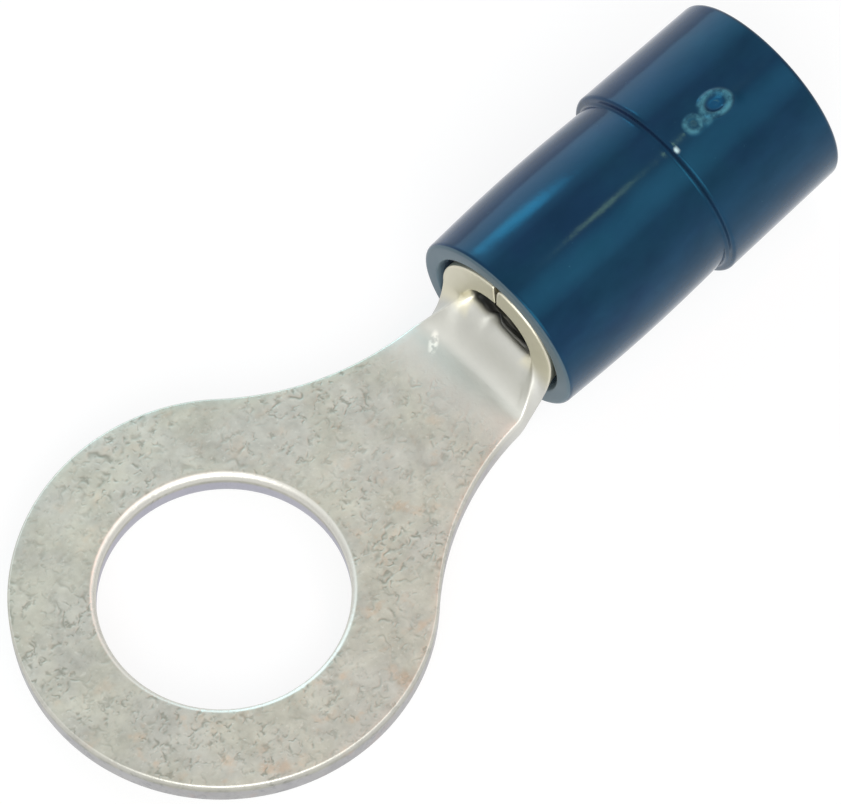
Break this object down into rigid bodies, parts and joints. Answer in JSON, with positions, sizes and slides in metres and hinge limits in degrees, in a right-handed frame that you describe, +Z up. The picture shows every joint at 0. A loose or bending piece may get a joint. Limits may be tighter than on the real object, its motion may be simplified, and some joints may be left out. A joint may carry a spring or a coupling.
{
  "type": "ring terminal",
  "caption": "Flat ring tongue with a round stud hole, running into a rolled crimp barrel inside a stepped plastic insulating sleeve.",
  "frame": {"origin": "centre of the stud hole on the tongue's underside", "axes": "+X along the barrel towards the wire entry, +Z up the stud hole towards the side the barrel stands on, +Y across the tongue"},
  "size_m": [0.0249, 0.011, 0.0059],
  "materials": {
    "tinned_copper": "satin",
    "sleeve_plastic": "gloss"
  },
  "bodies": {
    "root": {"terminal_body": "tinned_copper", "sleeve": "sleeve_plastic"}
  },
  "joints": []
}
